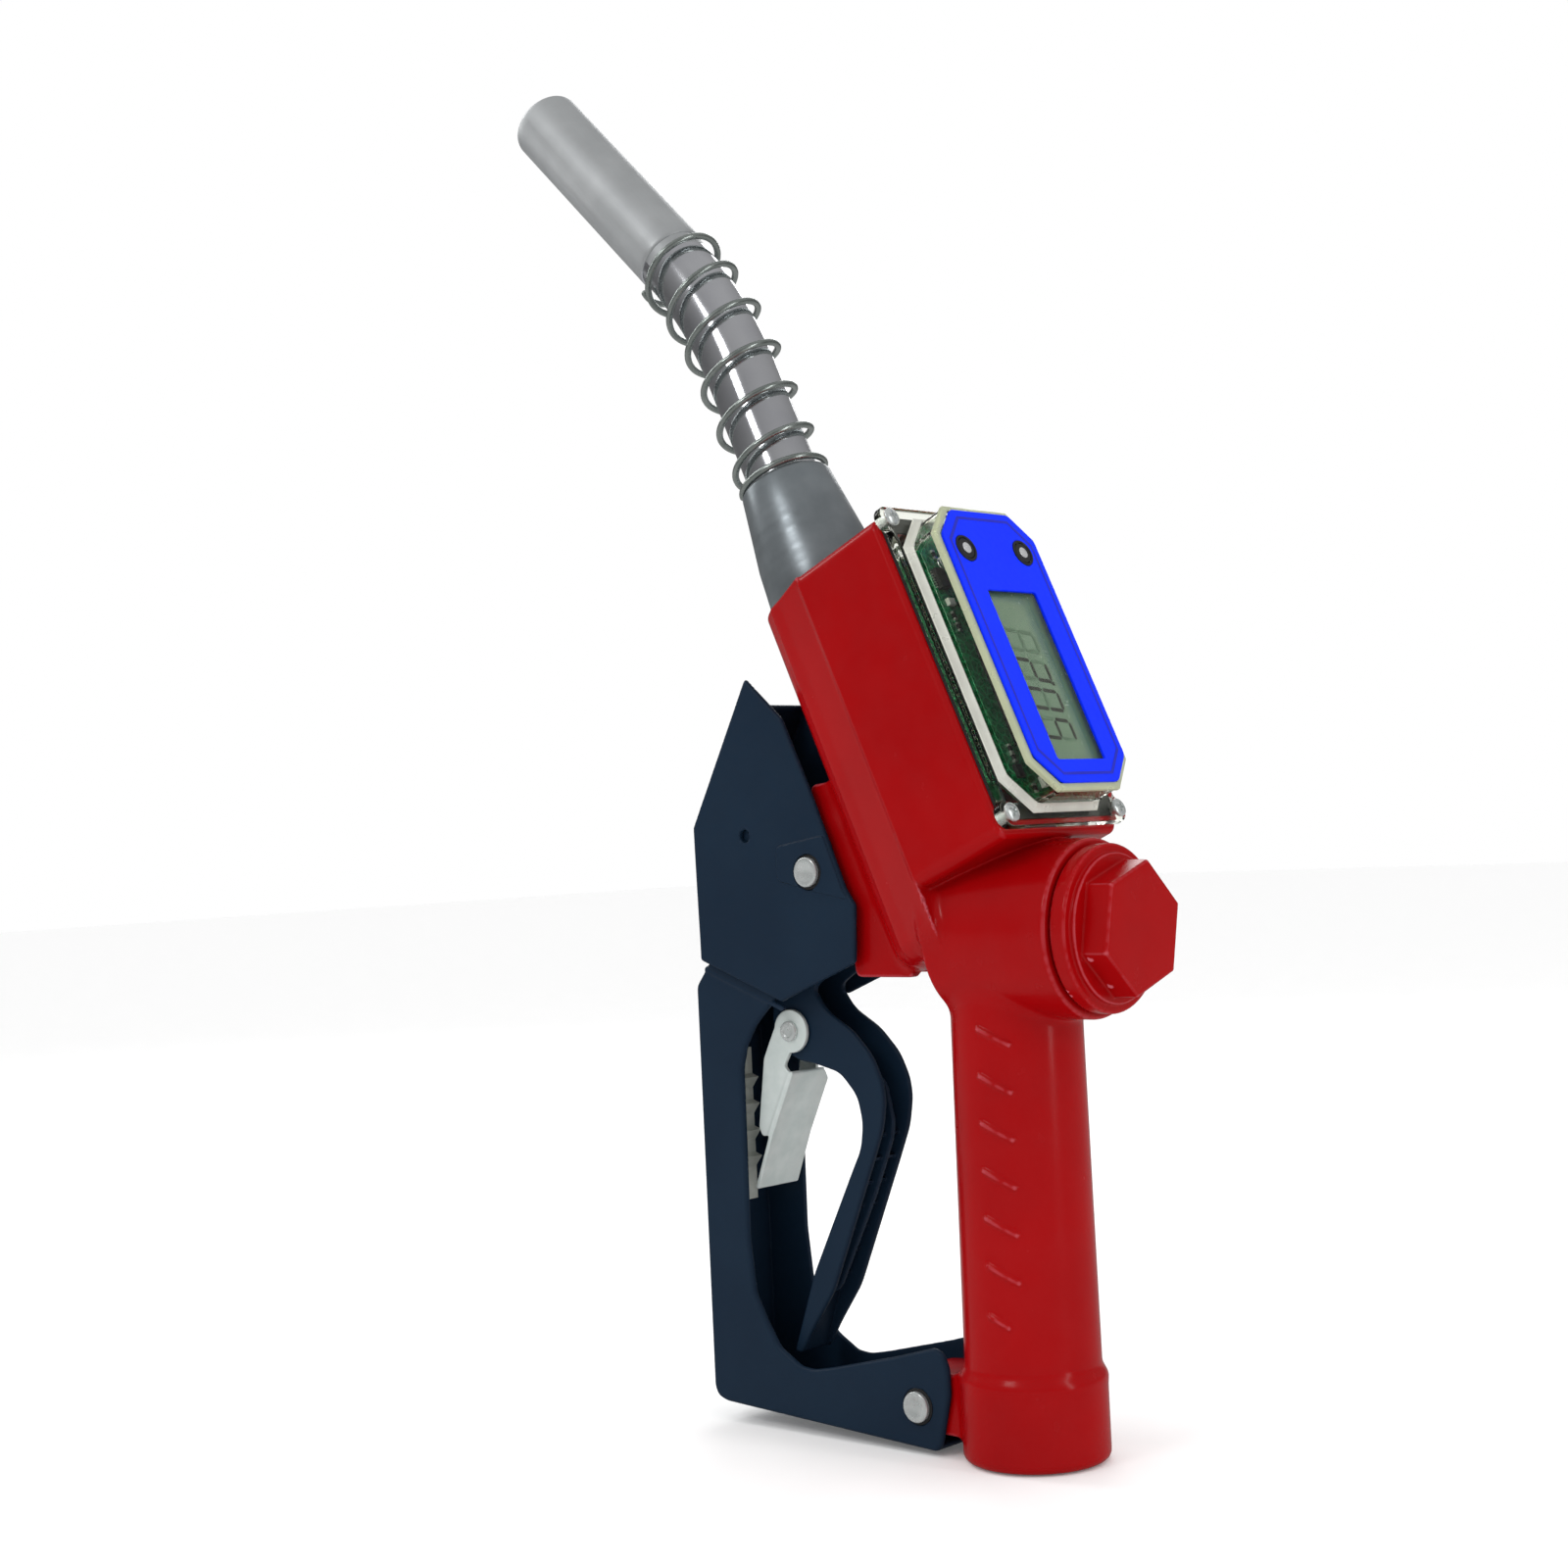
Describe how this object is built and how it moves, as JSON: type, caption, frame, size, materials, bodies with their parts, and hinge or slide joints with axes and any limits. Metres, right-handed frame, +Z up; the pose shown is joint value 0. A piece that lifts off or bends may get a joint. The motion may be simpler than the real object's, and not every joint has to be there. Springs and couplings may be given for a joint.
{
  "type": "fuel nozzle",
  "caption": "Hand-held fuel nozzle with squeeze lever, guarded trigger, bent sprung spout and a digital flow meter in its body.",
  "frame": {"origin": "centre of the inlet end face, on the handle axis", "axes": "+Z up along the handle axis, +X towards the valve cap and meter face, -X towards the lever and guard; symmetric about y = 0"},
  "size_m": [0.2384, 0.0606, 0.4425],
  "materials": {
    "red_enamel": "glossy deep red enamel over cast aluminium",
    "dark_alloy": "dark grey satin sleeve",
    "aluminium": "drawn tube, matt at the end and polished under the spring",
    "steel": "bright plated steel",
    "brass": "machined brass",
    "rubber": "black oil-resistant rubber",
    "guard_black": "semi-matt black with a blue tint",
    "black_plastic": "black moulded plastic",
    "white_plastic": "white moulded plastic",
    "clear_cover": "clear moulded cover",
    "blue_face": "vivid blue faceplate",
    "display": "grey-green display",
    "board_green": "green circuit board",
    "battery": "cell jacket",
    "button_silver": "silver push button"
  },
  "bodies": {
    "casting": {"body_casting": "red_enamel", "valve_cap": "red_enamel", "cap_oring": "rubber", "valve_seat": "brass", "poppet_spring": "steel", "gland_nut": "brass", "stem_seals": "rubber", "inlet_strainer": "steel", "flow_straightener_in": "white_plastic", "flow_straightener_out": "white_plastic", "rotor_bushes": "brass", "pickup_sensor": "black_plastic", "battery_cells": "battery", "venturi_ring": "brass", "check_spring": "steel", "check_guide": "steel", "spout_adapter": "dark_alloy", "spout_oring": "rubber", "spout_set_screw": "steel", "spout_tube": "aluminium", "spout_spring": "steel", "vacuum_tube": "brass", "sensing_port": "brass", "diaphragm_cover": "dark_alloy", "cover_screws": "steel", "plunger_spring": "steel", "latch_rack": "steel", "rack_rivets": "steel", "lever_guard": "guard_black", "guard_shield": "guard_black", "front_guard_pins": "steel", "rear_guard_pin": "steel", "meter_gasket": "rubber", "meter_cover": "clear_cover", "meter_cover_screws": "steel", "meter_faceplate": "blue_face", "lcd_module": "display", "circuit_board": "board_green", "pin_header": "black_plastic", "board_components": "black_plastic", "button_springs": "steel"},
    "valve": {"main_poppet": "brass", "poppet_seal": "rubber", "valve_stem": "steel"},
    "check_valve": {"check_poppet": "brass"},
    "rotor": {"turbine_rotor": "white_plastic", "rotor_shaft": "steel"},
    "shutoff": {"diaphragm": "rubber", "roller_cage": "brass", "latch_rollers": "steel"},
    "plunger": {"latch_plunger": "steel"},
    "lever": {"lever": "guard_black", "lever_pivot_pin": "steel", "roller_pin": "steel", "latch_pin": "steel", "latch_spring": "steel"},
    "roller": {"lever_roller": "steel"},
    "latch": {"hold_open_latch": "steel"},
    "reset_button": {"reset_button": "button_silver"},
    "total_button": {"total_button": "button_silver"}
  },
  "joints": [
    {"name": "plunger_trip", "type": "slide", "parent": "casting", "child": "plunger", "axis": [-0.9159, 0, -0.4015], "range_m": [0, 0.005], "stiffness_N_per_m": 400, "springref_m": -0.01, "deforming": ["plunger_spring"]},
    {"name": "lever_squeeze", "type": "hinge", "parent": "plunger", "child": "lever", "pos_m": [-0.07654, 0, 0.18209], "axis": [0, -1, 0], "range_deg": [0, 16], "stiffness_Nm_per_rad": 1, "springref_deg": -11.46, "deforming": ["poppet_spring"]},
    {"name": "valve_lift", "type": "slide", "parent": "casting", "child": "valve", "axis": [1, 0, 0], "range_m": [0, 0.009], "deforming": ["poppet_spring"]},
    {"name": "roller_spin", "type": "hinge", "parent": "lever", "child": "roller", "pos_m": [-0.0605, 0, 0.1505], "axis": [0, 1, 0], "continuous": true},
    {"name": "latch_swing", "type": "hinge", "parent": "lever", "child": "latch", "pos_m": [-0.0814, 0, 0.1237], "axis": [0, 1, 0], "range_deg": [0, 10], "stiffness_Nm_per_rad": 0.03, "springref_deg": -22.92},
    {"name": "diaphragm_lift", "type": "slide", "parent": "casting", "child": "shutoff", "axis": [0.9159, 0, 0.4015], "range_m": [0, 0.0015], "stiffness_N_per_m": 300, "springref_m": -0.003, "deforming": ["diaphragm", "plunger_spring"]},
    {"name": "check_lift", "type": "slide", "parent": "casting", "child": "check_valve", "axis": [-0.4015, 0, 0.9159], "range_m": [0, 0.005], "stiffness_N_per_m": 200, "springref_m": -0.005, "deforming": ["check_spring"]},
    {"name": "turbine_spin", "type": "hinge", "parent": "casting", "child": "rotor", "pos_m": [-0.03855, 0, 0.19929], "axis": [-0.4015, 0, 0.9159], "continuous": true},
    {"name": "reset_press", "type": "slide", "parent": "casting", "child": "reset_button", "axis": [-0.9159, 0, -0.4015], "range_m": [0, 0.0012], "stiffness_N_per_m": 400, "springref_m": -0.001, "deforming": ["button_springs"]},
    {"name": "total_press", "type": "slide", "parent": "casting", "child": "total_button", "axis": [-0.9159, 0, -0.4015], "range_m": [0, 0.0012], "stiffness_N_per_m": 400, "springref_m": -0.001, "deforming": ["button_springs"]}
  ],
  "couplings": [
    {"joint": "valve_lift", "follows": "lever_squeeze", "m_per_rad": 0.0316}
  ]
}
